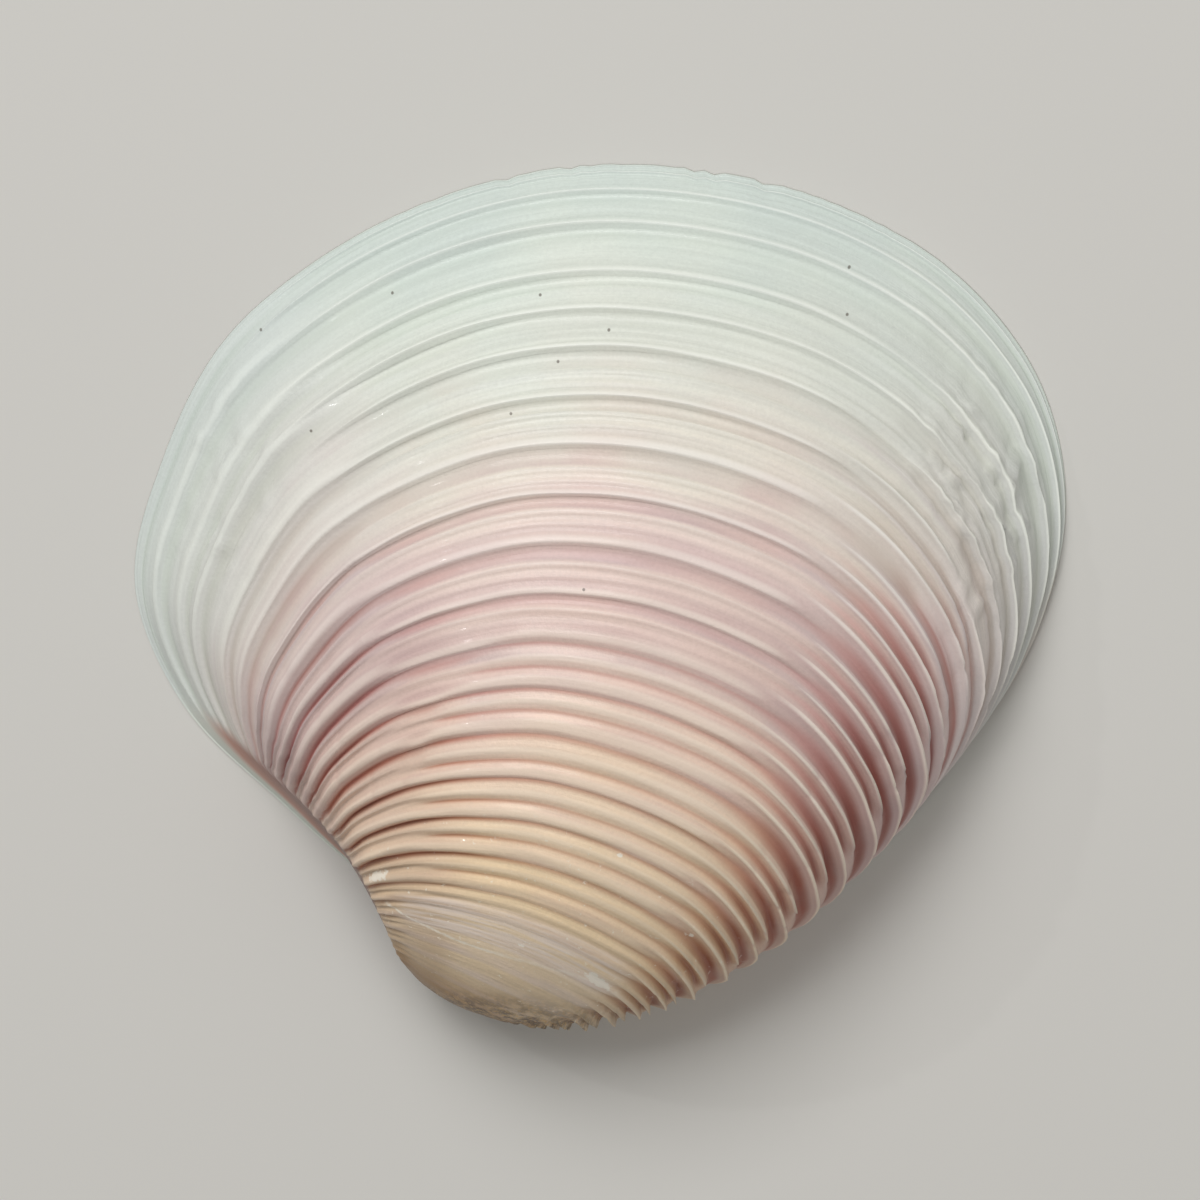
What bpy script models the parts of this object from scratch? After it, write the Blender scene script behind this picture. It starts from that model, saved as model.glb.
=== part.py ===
# Right valve of a ridged Venus clam, lying on the rim of its opening with its outside up.
# +X runs from the front (lunule) end to the hind end, +Y from the beak to the ventral edge, +Z up.
# The outside is built the way the animal builds it: every growth line is the rim scaled down about
# the beak and turned about the coiling axis, and the ridges stand on those growth lines.

import math

import bpy
import bmesh
import numpy as np
from mathutils import Vector
from mathutils.bvhtree import BVHTree

MM = 0.001

# Driving dimensions, in millimetres
VALVE_LENGTH = 44.0        # front end to hind end
SHELL_THICKNESS = 1.5      # over the middle of the valve
EDGE_THICKNESS = 0.5       # of the shell where it thins out to the rim
RIM_WIDTH = 0.9            # flat band that touches the table
HINGE_WIDTH = 4.4          # rim and shelf under the beak together
HINGE_RECESS = 1.0         # shelf above the plane of the rim
CAVITY_STEP = 0.2          # width of the step from the rim up to the shelf or the hollow
CAVITY_CLEAR = 0.1         # least height of the hollow above the plane of the rim

# Outline of the rim for a valve 44 mm long, one point every twentieth of the way round: from below
# the beak along the lunule, the front end, the ventral edge, the hind end and back along the hinge
DRAWN_LENGTH = 44.0
FRAME_SHIFT = (0.01, 0.10)  # puts the middle of the valve's box over the origin
RIM_OUTLINE = (
    (-10.4, -14.2), (-15.3, -10.2), (-19.7, -5.8), (-22.0, 0.0), (-20.6, 6.1),
    (-17.7, 11.7), (-13.0, 15.8), (-7.4, 18.7), (-1.3, 20.2), (5.0, 20.1),
    (11.1, 18.6), (16.6, 15.5), (20.6, 10.6), (22.0, 4.6), (20.7, -1.6),
    (17.5, -7.0), (13.5, -11.8), (7.9, -14.7), (1.9, -16.5), (-4.4, -16.2),
)

# Coiling of the shell about its beak
BEAK = (-8.75, -17.3, 0.85)
AXIS_YAW = -1.25           # degrees from +X, in the plane of the rim
AXIS_PITCH = -27.3         # degrees, the hind end of the axis points down
FULL_TURN = 128.0          # degrees between the first shell and the rim
FULL_GROWTH = 3.35         # natural logarithm of the growth over that turn
TABLE_CLEAR = 0.12         # least height of the outside above the table, away from the rim

# A stage is the size of the shell when a growth line was its rim, as a share of the full size.
# Each spell of growth ends at a stage and laid down that many pairs of a strong and a weak ridge.
EARLY_STAGES = (0.045, 0.07, 0.1)
FIRST_RIDGE = 0.13
RIDGE_SPELLS = ((0.350, 7), (0.835, 12), (0.900, 2), (0.943, 1), (0.974, 1), (0.992, 1))
CREST_PHASE = 0.24         # strong crest after its groove, as a share of the pair's width
CREST_SHARE = 0.4          # of the relief that stands above the smooth shell
RELIEF_FADE = 0.04         # last share of the growth, where the ridges sink into the rim

# Along the rim, from 0 to 1 as RIM_OUTLINE: height of the ridges from groove to crest
RIDGE_RELIEF = (
    (0.00, 0.05), (0.08, 0.08), (0.12, 0.18), (0.15, 0.36), (0.20, 0.40), (0.28, 0.30),
    (0.38, 0.24), (0.50, 0.26), (0.58, 0.38), (0.64, 0.50), (0.68, 0.40), (0.73, 0.14),
    (0.80, 0.05), (1.00, 0.05),
)
# How far the ridges run ahead of the growth lines, as a share of the stage
RIDGE_SWEEP = (
    (0.00, 0.16), (0.07, 0.16), (0.105, 0.08), (0.145, 0.0), (0.19, 0.010), (0.26, -0.004),
    (0.32, 0.0), (0.50, 0.0), (0.56, -0.004), (0.62, 0.004), (0.66, 0.02), (0.70, 0.08),
    (0.76, 0.16), (1.00, 0.16),
)
SWEEP_FADE = 0.25          # last share of the growth, where the ridges fall in with the rim
# Share of the hinge shelf along the rim; it runs on past the end of the outline
HINGE_SPAN = ((0.72, 0.0), (0.82, 1.0), (0.99, 1.0), (1.06, 0.0))

# Hinge teeth on the shelf: root and far end in the plane of the rim, width, clear of the table
HINGE_TEETH = (
    ((-7.9, -13.6), (-8.3, -11.9), 0.9, 0.35),
    ((-6.2, -14.4), (-5.7, -11.6), 0.9, 0.25),
    ((-4.4, -14.7), (-1.2, -12.9), 1.2, 0.35),
)
LIGAMENT_RIDGE = ((-0.6, -15.0), (6.6, -13.8), 1.0, 0.55)
TOOTH_ROOT_DEPTH = 1.2     # of a tooth in the shelf
TOOTH_TAPER = 0.6          # width at the tip, as a share of the width at the root
TOOTH_SIDES = 12

COLUMNS = 76               # round the rim
NORMAL_STEP = 0.003        # along the rim and in stage, for the slope of the smooth shell
CAVITY_CENTRE = (0.5, -1.0)
CAVITY_SHARES = (0.08, 0.2, 0.36, 0.54, 0.72, 0.88)
THICKNESS_SPAN = 0.25      # last share of the growth, over which the shell thins to its edge
PROBE_STAGES = 90
PROBE_COLUMNS = 120
PROBE_START = 0.2


def remove_everything():
    for old in list(bpy.data.objects):
        bpy.data.objects.remove(old, do_unlink=True)


def shell_material():
    material = bpy.data.materials.new("aragonite, cream and rose")
    material.use_nodes = True
    shader = material.node_tree.nodes["Principled BSDF"]
    shader.inputs["Base Color"].default_value = (0.66, 0.52, 0.46, 1.0)
    shader.inputs["Roughness"].default_value = 0.38
    shader.inputs["Metallic"].default_value = 0.0
    return material


def eased(share):
    return share * share * (3 - 2 * share)


def along(table, places):
    # Smoothly eased value of a table of (place, value) steps
    known = np.array([place for place, value in table])
    values = np.array([value for place, value in table])
    places = np.clip(places, known[0], known[-1])
    index = np.clip(np.searchsorted(known, places, side="right") - 1, 0, len(known) - 2)
    share = (places - known[index]) / (known[index + 1] - known[index])
    return values[index] + (values[index + 1] - values[index]) * eased(share)


def rim(places):
    # Closed smooth curve through RIM_OUTLINE, in the plane z = 0
    points = np.array(RIM_OUTLINE) * VALVE_LENGTH / DRAWN_LENGTH
    place = np.mod(places, 1.0) * len(points)
    index = np.floor(place).astype(int)
    t = (place - index)[..., None]
    before, here, after, beyond = (points[(index + step) % len(points)] for step in (-1, 0, 1, 2))
    slope = after - before
    bend = 2 * before - 5 * here + 4 * after - beyond
    twist = 3 * (here - after) + beyond - before
    flat = here + 0.5 * t * (slope + t * (bend + t * twist))
    return np.concatenate([flat, np.zeros(flat.shape[:-1] + (1,))], axis=-1)


def smooth_shell(places, stages):
    # The rim of each stage: scaled down about the beak and turned about the coiling axis
    yaw, pitch = math.radians(AXIS_YAW), math.radians(AXIS_PITCH)
    axis = np.array((math.cos(yaw) * math.cos(pitch), math.sin(yaw) * math.cos(pitch), math.sin(pitch)))
    beak = np.array(BEAK) * VALVE_LENGTH / DRAWN_LENGTH
    places, stages = np.broadcast_arrays(places, stages)
    age = np.clip(-np.log(stages) / FULL_GROWTH, 0.0, 1.0)
    turn = math.radians(FULL_TURN) * (1 - (1 - age) ** 2)
    arm = (rim(places) - beak) * stages[..., None]
    cosine, sine = np.cos(turn)[..., None], np.sin(turn)[..., None]
    reach = (arm @ axis)[..., None] * axis
    return beak + reach + (arm - reach) * cosine + np.cross(axis, arm) * sine


def outward(places, stages):
    # Unit normals of the smooth shell
    later = np.minimum(stages + NORMAL_STEP, 1.0)
    earlier = later - 2 * NORMAL_STEP
    round_rim = smooth_shell(places + NORMAL_STEP, stages) - smooth_shell(places - NORMAL_STEP, stages)
    down_slope = smooth_shell(places, later) - smooth_shell(places, earlier)
    normal = np.cross(round_rim, down_slope)
    return normal / np.linalg.norm(normal, axis=-1, keepdims=True)


def ridge_stages():
    # Stage and relief of each row of the outside: a groove, then the crest after it
    rows = [(stage, 0.0) for stage in EARLY_STAGES]
    stage = FIRST_RIDGE
    for end, pairs in RIDGE_SPELLS:
        width = (end - stage) / pairs
        for pair in range(pairs):
            rows.append((stage + pair * width, CREST_SHARE - 1))
            rows.append((stage + (pair + CREST_PHASE) * width, CREST_SHARE))
        stage = end
    rows.append((stage, CREST_SHARE - 1))
    rows.append((1.0, 0.0))
    return rows


def outside_rows(places):
    rows = []
    for stage, relief in ridge_stages():
        fade = min(1.0, (1.0 - stage) / SWEEP_FADE)
        lines = stage * (1 + along(RIDGE_SWEEP, places) * fade)
        height = along(RIDGE_RELIEF, places) * relief * min(1.0, (1.0 - stage) / RELIEF_FADE)
        row = smooth_shell(places, lines) + outward(places, lines) * height[:, None]
        if stage < 1.0:
            row[:, 2] = np.maximum(row[:, 2], TABLE_CLEAR)
        rows.append(row)
    return rows


def ceiling_finder():
    # The inside of the shell: the smooth outside moved inward by the thickness
    stages = np.linspace(PROBE_START, 1.0, PROBE_STAGES)[:, None]
    places = np.arange(PROBE_COLUMNS)[None, :] / PROBE_COLUMNS
    share = eased(np.clip((1.0 - stages) / THICKNESS_SPAN, 0.0, 1.0))
    thickness = EDGE_THICKNESS + (SHELL_THICKNESS - EDGE_THICKNESS) * share
    stages, places = np.broadcast_arrays(stages, places)
    inside = smooth_shell(places, stages) - outward(places, stages) * thickness[..., None]
    corners = [Vector(point) for point in inside.reshape(-1, 3)]
    quads = []
    for row in range(PROBE_STAGES - 1):
        for column in range(PROBE_COLUMNS):
            after = (column + 1) % PROBE_COLUMNS
            start = row * PROBE_COLUMNS
            quads.append((start + column, start + after,
                          start + PROBE_COLUMNS + after, start + PROBE_COLUMNS + column))
    tree = BVHTree.FromPolygons(corners, quads)
    sky = 2 * VALVE_LENGTH

    def ceiling(spots):
        heights = []
        for x, y in spots[:, :2]:
            hit = tree.ray_cast(Vector((x, y, sky)), Vector((0, 0, -1)))[0]
            heights.append(max(CAVITY_CLEAR, hit.z if hit else 0.0))
        return np.array(heights)

    return ceiling


def inset(places, distance):
    # The rim moved inward in its own plane
    ahead = rim(places + NORMAL_STEP) - rim(places - NORMAL_STEP)
    inward = np.stack([ahead[:, 1], -ahead[:, 0], np.zeros(len(places))], axis=-1)
    inward /= np.linalg.norm(inward, axis=-1, keepdims=True)
    return rim(places) + inward * np.asarray(distance)[..., None]


def inside_rows(places):
    ceiling = ceiling_finder()
    hinge = np.maximum(along(HINGE_SPAN, places), along(HINGE_SPAN, places + 1))
    band = inset(places, np.full(len(places), RIM_WIDTH))

    def shelf_row(width, shelf_height):
        row = inset(places, width)
        hollow = ceiling(row)
        row[:, 2] = hollow + (np.minimum(shelf_height, hollow) - hollow) * hinge
        return row

    step = RIM_WIDTH + CAVITY_STEP
    shelf = shelf_row(np.full(len(places), step), HINGE_RECESS)
    edge_width = step + 0.5 + (HINGE_WIDTH - step - 0.5) * hinge
    edge = shelf_row(edge_width, HINGE_RECESS)
    rows = [band, shelf, edge]
    centre = np.array(CAVITY_CENTRE + (0.0,))
    for share in CAVITY_SHARES:
        row = inset(places, edge_width)
        row += (centre - row) * share
        row[:, 2] = ceiling(row)
        rows.append(row)
    centre[2] = ceiling(centre[None, :])[0]
    return rows, centre


def loft(name, first, rows, last, material):
    # One closed skin from the first point, over every row, to the last point
    mesh = bpy.data.meshes.new(name)
    form = bmesh.new()
    start = form.verts.new(Vector(first) * MM)
    rings = [[form.verts.new(Vector(point) * MM) for point in row] for row in rows]
    end = form.verts.new(Vector(last) * MM)
    count = len(rings[0])
    for column in range(count):
        after = (column + 1) % count
        form.faces.new((start, rings[0][after], rings[0][column]))
        form.faces.new((end, rings[-1][column], rings[-1][after]))
        for upper, lower in zip(rings, rings[1:]):
            form.faces.new((upper[column], upper[after], lower[after], lower[column]))
    bmesh.ops.triangulate(form, faces=form.faces)
    bmesh.ops.recalc_face_normals(form, faces=form.faces)
    form.to_mesh(mesh)
    form.free()
    mesh.materials.append(material)
    return bpy.data.objects.new(name, mesh)


def hinge_tooth(root, end, width, clear):
    # A tapered oval peg, standing down from the shelf
    root, end = np.array(root), np.array(end)
    middle, run = (root + end) / 2, end - root
    depth = HINGE_RECESS + TOOTH_ROOT_DEPTH - clear
    half_length = math.hypot(*run) / 2 + width / 2
    bpy.ops.mesh.primitive_cone_add(
        vertices=TOOTH_SIDES, radius1=TOOTH_TAPER * MM, radius2=MM, depth=depth * MM, end_fill_type="NGON",
        location=(middle[0] * MM, middle[1] * MM, (clear + depth / 2) * MM),
        rotation=(0, 0, math.atan2(run[1], run[0])), scale=(half_length, width / 2, 1))
    tooth = bpy.context.active_object
    bpy.ops.object.transform_apply(location=False, rotation=False, scale=True)
    tooth.hide_render = True
    tooth.display_type = "WIRE"
    return tooth


def add_teeth(valve, cutters):
    for number, place in enumerate(HINGE_TEETH + (LIGAMENT_RIDGE,), 1):
        tooth = hinge_tooth(*place)
        tooth.name = "hinge_tooth_%d" % number
        for owner in list(tooth.users_collection):
            owner.objects.unlink(tooth)
        cutters.objects.link(tooth)
        union = valve.modifiers.new(tooth.name, "BOOLEAN")
        union.operation = "UNION"
        union.object = tooth


def build():
    remove_everything()
    collection = bpy.data.collections.new("ridged venus clam valve")
    bpy.context.scene.collection.children.link(collection)
    cutters = bpy.data.collections.new("hinge teeth joined to the valve")
    bpy.context.scene.collection.children.link(cutters)
    places = np.arange(COLUMNS) / COLUMNS
    outer = outside_rows(places)
    inner, ceiling_centre = inside_rows(places)
    tip = outer[0].mean(axis=0)
    valve = loft("valve", tip, outer + inner, ceiling_centre, shell_material())
    collection.objects.link(valve)
    add_teeth(valve, cutters)
    for item in [valve] + list(cutters.objects):
        item.location.x += FRAME_SHIFT[0] * MM
        item.location.y += FRAME_SHIFT[1] * MM
    print("valve", len(valve.data.polygons), "triangles, size",
          [round(side / MM, 2) for side in valve.dimensions])


build()
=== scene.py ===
import math
from functools import partial

import bpy
from mathutils import Matrix, Vector


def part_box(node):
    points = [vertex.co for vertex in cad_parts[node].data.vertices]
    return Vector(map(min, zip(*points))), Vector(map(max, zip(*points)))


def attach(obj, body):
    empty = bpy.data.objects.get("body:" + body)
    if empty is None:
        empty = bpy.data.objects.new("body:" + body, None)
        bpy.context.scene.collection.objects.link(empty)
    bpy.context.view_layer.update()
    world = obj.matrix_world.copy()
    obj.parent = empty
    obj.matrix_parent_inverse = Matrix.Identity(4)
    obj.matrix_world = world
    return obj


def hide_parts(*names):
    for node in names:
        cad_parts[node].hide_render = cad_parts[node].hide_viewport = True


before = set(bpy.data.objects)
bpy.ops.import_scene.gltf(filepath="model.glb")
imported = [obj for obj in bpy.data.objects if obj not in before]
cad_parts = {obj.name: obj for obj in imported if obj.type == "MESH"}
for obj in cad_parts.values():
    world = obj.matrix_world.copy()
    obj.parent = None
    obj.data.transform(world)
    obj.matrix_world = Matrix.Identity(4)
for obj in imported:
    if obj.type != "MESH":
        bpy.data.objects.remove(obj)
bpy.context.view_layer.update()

mm = 0.001
lowest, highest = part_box("valve")
print("frame loaded, valve", [round(side / mm, 1) for side in highest - lowest], "mm")


def addNode(tree, kind, inputs=(), operation=None, points=(), straight=False, stops=(), **settings):
    # a node, named by the end of its type, with its settings and links; inputs go by number or by name,
    # points draw its curve and stops fill its colour ramp
    families = ("GeometryNode" if tree.bl_idname == "GeometryNodeTree" else "ShaderNode", "ShaderNode", "")
    made = tree.nodes.new(next(family + kind for family in families if hasattr(bpy.types, family + kind)))
    if operation:
        made.operation = operation
    for name, value in settings.items():
        setattr(made, name, value)
    for slot, value in inputs.items() if isinstance(inputs, dict) else enumerate(inputs):
        if isinstance(value, bpy.types.Node):
            value = next(output for output in value.outputs if output.enabled)
        if isinstance(value, bpy.types.NodeSocket):
            tree.links.new(value, made.inputs[slot])
        else:
            made.inputs[slot].default_value = value
    if points:
        made.mapping.use_clip = False
        line = made.mapping.curves[0]
        while len(line.points) < len(points):
            line.points.new(0.5, 0.5)
        for spot, place in zip(line.points, sorted(points)):
            spot.location = place
            spot.handle_type = "VECTOR" if straight else "AUTO_CLAMPED"
        made.mapping.update()
    if stops:
        ramp = made.color_ramp
        while len(ramp.elements) < len(stops):
            ramp.elements.new(1.0)
        for stop, (place, colour) in zip(ramp.elements, stops):
            stop.position = place
            stop.color = (colour, colour, colour, 1.0) if isinstance(colour, float) else linear(colour)
    return made


def linear(code):
    # sRGB hex to a linear colour
    shares = [int(code[start:start + 2], 16) / 255 for start in (1, 3, 5)]
    bent = [share / 12.92 if share <= 0.04045 else ((share + 0.055) / 1.055) ** 2.4 for share in shares]
    return (*bent, 1.0)


# The growth rule of the shell, the same as the solid's
growth = {
    "rimOutline": (  # mm, from below the beak along the lunule, front, ventral edge, hind end and hinge
        (-10.4, -14.2), (-15.3, -10.2), (-19.7, -5.8), (-22.0, 0.0), (-20.6, 6.1),
        (-17.7, 11.7), (-13.0, 15.8), (-7.4, 18.7), (-1.3, 20.2), (5.0, 20.1),
        (11.1, 18.6), (16.6, 15.5), (20.6, 10.6), (22.0, 4.6), (20.7, -1.6),
        (17.5, -7.0), (13.5, -11.8), (7.9, -14.7), (1.9, -16.5), (-4.4, -16.2)),
    "frameShift": (0.01, 0.10),  # mm, from the outline's own middle to the middle of the valve
    "beak": (-8.75, -17.3, 0.85),  # mm
    "axisYaw": -1.25,  # degrees
    "axisPitch": -27.3,
    "fullTurn": 128.0,
    "fullGrowth": 3.35,  # natural logarithm of the growth over the full turn
    "tableClear": 0.12,  # mm
    "leastStage": 0.0001,
    "rimSteps": 40,
}

# Ridges come in pairs of a strong and a weak one; pairs are counted from the beak to the rim
ridges = {
    "pairs": 27,
    "rowsPerPair": 16,
    "columns": 212,
    # columns stand closer where the ridges are; share of the columns, place plus the seam
    "columnPlaces": ((0.0, 0.0), (0.055, 0.10), (0.48, 0.47), (0.91, 0.85), (1.0, 1.0)),
    "nudge": 0.001,  # share of a pair, against rounding
    "rimStage": 0.9995,
    "seam": 0.10,  # the seam lies this far back along the hinge from the beak
    "spells": ((0, 0.0), (2, 0.13), (9, 0.350), (21, 0.835), (23, 0.900), (24, 0.943), (25, 0.974),
               (26, 0.992), (27, 1.0)),  # pair number, size of the shell when it was laid down
    # the rows of a pair crowd on its sharp crests
    "rowPhases": (0.0, 0.03, 0.06, 0.10, 0.15, 0.21, 0.27, 0.33, 0.37, 0.43, 0.50, 0.56, 0.64, 0.70, 0.76,
                  0.86, 1.0),
    # height of the surface at each of these rows: in the young middle, in the older middle, on the
    # plates of the last years, at the front end, before and at the hind end
    "young": (0.04, 0.22, 0.50, 0.80, 0.96, 1.0, 0.96, 0.82, 0.66, 0.32, 0.10, 0.42, 0.84, 0.96, 0.92,
              0.56, 0.04),
    "tripled": (0.34, 0.97, 1.0, 0.97, 0.86, 0.68, 0.60, 0.64, 0.74, 0.60, 0.52, 0.60, 0.84, 0.42, 0.24,
                0.18, 0.34),
    "plated": (0.26, 0.98, 1.0, 0.92, 0.82, 0.71, 0.62, 0.55, 0.51, 0.46, 0.41, 0.37, 0.32, 0.28, 0.24,
               0.15, 0.26),
    "front": (0.0, 0.10, 0.26, 0.50, 0.76, 0.94, 1.0, 1.0, 0.95, 0.84, 0.68, 0.50, 0.42, 0.60, 0.82,
              0.40, 0.0),
    "behind": (0.0, 0.02, 0.05, 0.11, 0.20, 0.34, 0.60, 0.97, 1.0, 0.40, 0.13, 0.10, 0.34, 0.70, 1.0,
               0.28, 0.0),
    "hindmost": (0.0, 0.02, 0.05, 0.10, 0.18, 0.34, 0.58, 0.88, 1.0, 0.74, 0.52, 0.46, 0.42, 0.38, 0.32,
                 0.14, 0.0),
    # fewer and wider plates reach the front end in the last years; size of the shell, height
    "frontPlates": ((0.70, 0.60), (0.745, 0.10), (0.752, 0.30), (0.757, 1.0), (0.775, 0.55), (0.788, 0.14),
                    (0.793, 0.40), (0.798, 1.0), (0.825, 0.55), (0.854, 0.14), (0.858, 0.40), (0.863, 1.0),
                    (0.875, 0.60), (0.888, 0.14), (0.892, 0.45), (0.897, 1.0), (0.920, 0.52), (0.941, 0.12),
                    (0.945, 0.45), (0.950, 1.0), (0.968, 0.58), (0.985, 0.15), (0.990, 0.70), (0.995, 0.80),
                    (1.0, 0.55)),
    "frontPlateShare": ((0.0, 1.0), (0.24, 1.0), (0.31, 0.0), (1.0, 0.0)),
    "frontPlateStages": (0.72, 0.76),
    # shares of these shapes by place
    "frontShare": ((0.0, 1.0), (0.20, 1.0), (0.25, 0.6), (0.30, 0.0), (0.90, 0.0), (1.0, 1.0)),
    "behindShare": ((0.0, 0.0), (0.47, 0.0), (0.55, 1.0), (1.0, 1.0)),
    "hindmostShare": ((0.0, 0.0), (0.60, 0.0), (0.63, 0.3), (0.67, 1.0), (0.90, 1.0), (1.0, 0.0)),
    # both ends took on the shapes of the older middle earlier
    "earlier": ((0.0, 0.14), (0.22, 0.14), (0.30, 0.04), (0.36, 0.0), (0.52, 0.0), (0.60, 0.05),
                (0.66, 0.08), (0.90, 0.10), (1.0, 0.14)),
    "tripledStages": ((0.0, 0.0), (0.57, 0.0), (0.63, 0.9), (0.80, 1.0), (0.90, 1.0), (1.0, 1.0)),
    "platedStages": ((0.0, 0.0), (0.78, 0.0), (0.80, 0.3), (0.83, 0.2), (0.865, 1.0), (0.90, 0.75),
                     (0.93, 1.0), (1.0, 1.0)),
    "lean": 0.02,  # share of a pair that the crests at both ends lean to the beak
    "reliefYoung": ((0.0, 0.30), (0.10, 0.40), (0.14, 0.46), (0.18, 0.50), (0.22, 0.46),
                    (0.28, 0.32), (0.38, 0.20), (0.46, 0.21), (0.52, 0.36), (0.58, 0.68), (0.62, 0.76),
                    (0.66, 0.54), (0.69, 0.36), (0.74, 0.14), (0.80, 0.05), (0.90, 0.0), (0.96, 0.02),
                    (1.0, 0.02)),  # mm
    "reliefOld": ((0.0, 0.20), (0.12, 0.30), (0.18, 0.52), (0.24, 0.58), (0.30, 0.58), (0.40, 0.56),
                  (0.50, 0.58), (0.58, 0.75), (0.64, 0.75), (0.68, 0.50), (0.73, 0.20), (0.80, 0.05),
                  (0.90, 0.0), (0.96, 0.02), (1.0, 0.03)),  # mm
    "oldStages": (0.58, 0.80),
    # the ridges end along the lunule; size of the shell, place
    "lunuleEdge": ((0.0, 0.14), (0.37, 0.136), (0.44, 0.112), (0.50, 0.092), (0.65, 0.086), (0.74, 0.092),
                   (0.86, 0.100), (1.0, 0.105)),
    "lunuleSoft": 0.012,
    "reliefByStage": ((0.0, 0.05), (0.10, 0.18), (0.20, 0.60), (0.32, 0.95), (0.60, 1.0), (0.80, 1.0),
                      (0.93, 0.95), (0.98, 0.55), (1.0, 0.0)),
    "unevenness": (0.55, 1.35),  # least and most share of the relief
    "unevenScale": (13.0, 2.3),  # patches round the rim and per pair
    "unevenNoise": (0.28, 0.72),
    "bandStart": 0.975,  # size of the shell where the thin edge starts
    "middle": 0.55,  # height that is painted neither as groove nor as crest
    "crestShare": 0.4,
    "sweep": ((0.0, 0.20), (0.07, 0.20), (0.10, 0.10), (0.12, 0.030), (0.14, -0.018), (0.16, -0.032),
              (0.19, -0.030), (0.24, -0.026), (0.30, -0.012), (0.37, 0.0), (0.50, 0.0), (0.56, -0.004),
              (0.60, 0.0), (0.63, 0.014), (0.66, 0.045), (0.70, 0.10), (0.76, 0.17), (0.94, 0.17),
              (1.0, 0.20)),
    "sweepFade": 0.34,
    "wobble": 0.006,  # share of the stage
    "waverScale": 9.0,
    "waverShare": ((0.0, 0.6), (0.06, 1.0), (0.74, 1.0), (0.82, 0.4), (0.87, 0.0), (0.93, 0.0), (1.0, 0.6)),
    "seed": 4,
    "pairShift": 0.35,  # share of a pair that its crests may lie off their place
}

# What wear and crowded growth did to the ridges
wear = {
    "crumplePlaces": ((0.0, 0.0), (0.15, 0.0), (0.18, 0.5), (0.23, 0.5), (0.27, 0.0), (0.52, 0.0),
                      (0.56, 0.9), (0.60, 1.0), (0.63, 0.5), (0.66, 0.0), (1.0, 0.0)),
    "crumpleStages": ((0.0, 0.0), (0.76, 0.0), (0.82, 0.7), (0.90, 1.0), (0.96, 0.7), (0.985, 0.0),
                      (1.0, 0.0)),
    "crumpleHeight": 0.50,  # mm
    "crumplePerMm": 0.75,
    "crumpleWaver": 0.028,  # share of the stage
    "knotPerMm": 1.0,
    "knotHeight": 0.26,  # mm
    "knotNoise": (0.58, 0.70),
    "chipPlaces": ((0.0, 0.0), (0.14, 0.3), (0.20, 0.7), (0.27, 0.1), (0.50, 0.1), (0.58, 0.9), (0.66, 1.0),
                   (0.75, 0.0), (1.0, 0.0)),
    "chipPerMm": 0.55,
    "chipPerPair": 7.3,
    "chipNoise": (0.60, 0.74),
    "chipDepth": 0.22,  # share of the crest
    "rimPlaces": ((0.0, 0.0), (0.30, 0.1), (0.36, 0.5), (0.40, 1.0), (0.46, 1.0), (0.50, 0.4), (0.56, 0.1),
                  (0.70, 0.0), (1.0, 0.0)),
    "rimNibble": 0.16,  # mm
    "rimNoise": (0.48, 0.68),
    "rimPerMm": 1.3,
    "smoothFront": ((0.0, 0.0), (0.13, 0.25), (0.15, 0.35), (0.17, 0.45), (0.20, 0.8), (0.23, 0.95),
                    (0.42, 0.93), (0.50, 0.55), (0.58, 0.0), (1.0, 0.0)),
    "smoothStages": (0.30, 0.39),
    "rimLength": 118.0,  # mm round the rim
    "growthLength": 38.0,  # mm from beak to rim
}

# Inside of the valve, mm
hollow = {
    "rowCount": 28,
    "shellThickness": 1.5,
    "edgeThickness": 0.5,
    "rimWidth": 0.9,
    "hingeWidth": 4.4,
    "hingeRecess": 1.0,
    "step": 0.2,
    "narrowShelf": 0.5,
    "clear": 0.1,
    "centre": (0.5, -1.0),
    "hingeSpan": ((0.0, 0.9), (0.03, 0.35), (0.06, 0.0), (0.72, 0.0), (0.82, 1.0), (0.98, 1.0), (1.0, 0.9)),
    "teeth": (((-7.9, -13.6), (-8.3, -11.9)), ((-6.2, -14.4), (-5.7, -11.6)),
              ((-4.4, -14.7), (-1.2, -12.9)), ((-0.6, -15.0), (6.6, -13.8))),
    "toothTop": 0.12,  # from the middle line, mm
    "toothFoot": 0.6,
    "toothHeight": 0.65,
    "rows": (0.06, 0.12, 0.5),  # shares of the rows at the ends of the rim band, its step and the shelf
    "shelfEnd": 0.12,  # share of the way from there to the middle
    "youngestProbe": 0.2,  # size of the shell
    "thinFrom": 0.75,
    "probePoints": (161, 121),
    "weld": 0.002,  # mm
    "sky": 80.0,  # from here rays look down for the inner surface, mm
}


def framed(x, y, z=0.0):
    # a point of the outline's own frame, in mm, as metres in the part's frame
    return ((x + growth["frameShift"][0]) * mm, (y + growth["frameShift"][1]) * mm, z * mm)


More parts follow.
